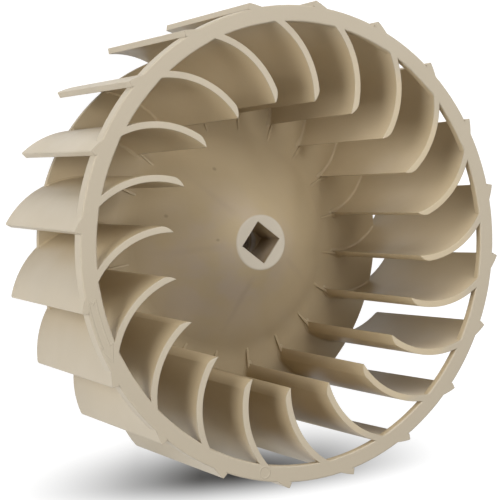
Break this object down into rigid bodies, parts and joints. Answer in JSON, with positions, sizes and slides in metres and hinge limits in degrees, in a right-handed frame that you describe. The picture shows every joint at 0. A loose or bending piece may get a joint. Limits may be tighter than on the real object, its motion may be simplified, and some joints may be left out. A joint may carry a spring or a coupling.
{
  "type": "dryer blower wheel",
  "caption": "Moulded centrifugal blower wheel: a row of curved arc blades between a dished back plate with a threaded hub and a flat inlet ring.",
  "frame": {"origin": "on the axis of the wheel, in the plane of the blades' rear ends, on which it lies", "axes": "+Z along the axis, from the back plate towards the inlet; +X through the tab of one blade"},
  "size_m": [0.1976, 0.1976, 0.08],
  "materials": {
    "plastic": "warm beige moulded plastic, low sheen"
  },
  "bodies": {
    "root": {"blower_wheel": "plastic"}
  },
  "joints": []
}
